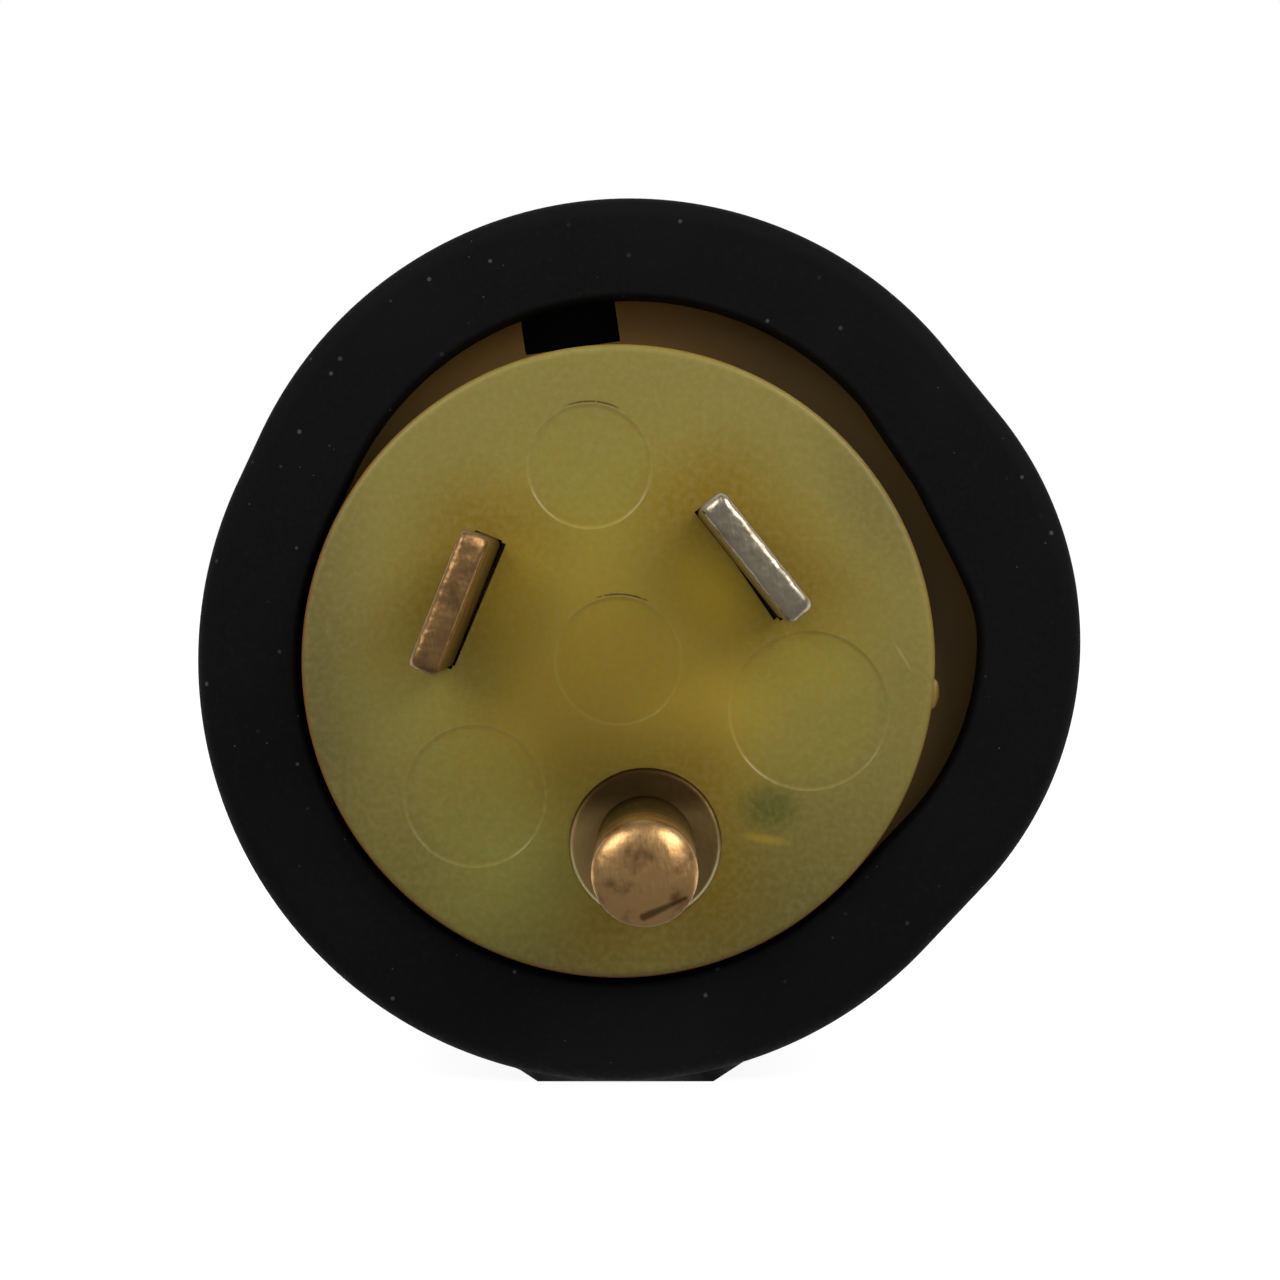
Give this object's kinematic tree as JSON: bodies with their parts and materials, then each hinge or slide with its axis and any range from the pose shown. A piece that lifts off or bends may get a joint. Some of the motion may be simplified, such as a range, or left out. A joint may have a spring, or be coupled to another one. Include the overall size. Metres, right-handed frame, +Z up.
{
  "type": "shore power plug",
  "caption": "Rewireable shore power plug: flat blades and a round ground pin in a nylon insert, in a three-cornered rubber shell with a compression gland for the cord.",
  "frame": {"origin": "centre of the box that holds the plug, on the surface that its flat pad lies on", "axes": "+Y along the plug axis from the contacts to the cord, +Z up, +X to the right seen from the contacts"},
  "size_m": [0.0512, 0.0968, 0.0512],
  "materials": {
    "shell_rubber": "matte, moulded",
    "nylon_amber": "natural nylon, slightly translucent",
    "nylon_white": "moulded",
    "nylon_black": "moulded",
    "seal_rubber": "smooth",
    "brass": "stamped and machined",
    "plated_brass": "nickel plated",
    "zinc_steel": "zinc plated",
    "green_screw": "green dyed screw"
  },
  "bodies": {
    "plug_body": {"shell": "shell_rubber", "insert": "nylon_amber", "hot_blade": "brass", "neutral_blade": "plated_brass", "ground_pin": "brass", "contact_retainer": "nylon_white", "retainer_screws": "zinc_steel", "gland_sleeve": "nylon_black", "sleeve_o_ring": "seal_rubber", "sleeve_locknut": "nylon_black", "cord_seal": "seal_rubber", "cord_collet": "nylon_white"},
    "washer": {"slip_washer": "zinc_steel"},
    "nut": {"gland_nut": "nylon_black"},
    "hot_clamp_plate": {"hot_clamp": "brass"},
    "hot_terminal_screw": {"hot_screw": "brass"},
    "neutral_clamp_plate": {"neutral_clamp": "plated_brass"},
    "neutral_terminal_screw": {"neutral_screw": "plated_brass"},
    "ground_clamp_plate": {"ground_clamp": "brass"},
    "ground_terminal_screw": {"ground_screw": "green_screw"}
  },
  "joints": [
    {"name": "slip_washer_slide", "type": "slide", "parent": "plug_body", "child": "washer", "axis": [0, 1, 0], "range_m": [0, 0.0045]},
    {"name": "gland_nut_turn", "type": "hinge", "parent": "washer", "child": "nut", "pos_m": [-0.0012, 0.0406, 0.02445], "axis": [0, 1, 0], "range_deg": [0, 1080]},
    {"name": "hot_clamp_slide", "type": "slide", "parent": "plug_body", "child": "hot_clamp_plate", "axis": [0.9298, 0, -0.3681], "range_m": [0, 0.00298]},
    {"name": "hot_screw_turn", "type": "hinge", "parent": "hot_clamp_plate", "child": "hot_terminal_screw", "pos_m": [-0.01608, -0.0049, 0.03034], "axis": [0.9298, 0, -0.3681], "range_deg": [0, 1350]},
    {"name": "neutral_clamp_slide", "type": "slide", "parent": "plug_body", "child": "neutral_clamp_plate", "axis": [-0.7837, 0, -0.6211], "range_m": [0, 0.00298]},
    {"name": "neutral_screw_turn", "type": "hinge", "parent": "neutral_clamp_plate", "child": "neutral_terminal_screw", "pos_m": [0.01134, -0.0049, 0.03439], "axis": [-0.7837, 0, -0.6211], "range_deg": [0, 1350]},
    {"name": "ground_clamp_slide", "type": "slide", "parent": "plug_body", "child": "ground_clamp_plate", "axis": [-0.1461, 0, 0.9893], "range_m": [0, 0.00298]},
    {"name": "ground_screw_turn", "type": "hinge", "parent": "ground_clamp_plate", "child": "ground_terminal_screw", "pos_m": [0.00114, -0.0049, 0.00862], "axis": [-0.1461, 0, 0.9893], "range_deg": [0, 1350]}
  ],
  "couplings": [
    {"joint": "slip_washer_slide", "follows": "gland_nut_turn", "m_per_rad": 0.00023873},
    {"joint": "hot_screw_turn", "follows": "hot_clamp_slide", "rad_per_m": 7915.8},
    {"joint": "neutral_screw_turn", "follows": "neutral_clamp_slide", "rad_per_m": 7915.8},
    {"joint": "ground_screw_turn", "follows": "ground_clamp_slide", "rad_per_m": 7915.8}
  ]
}
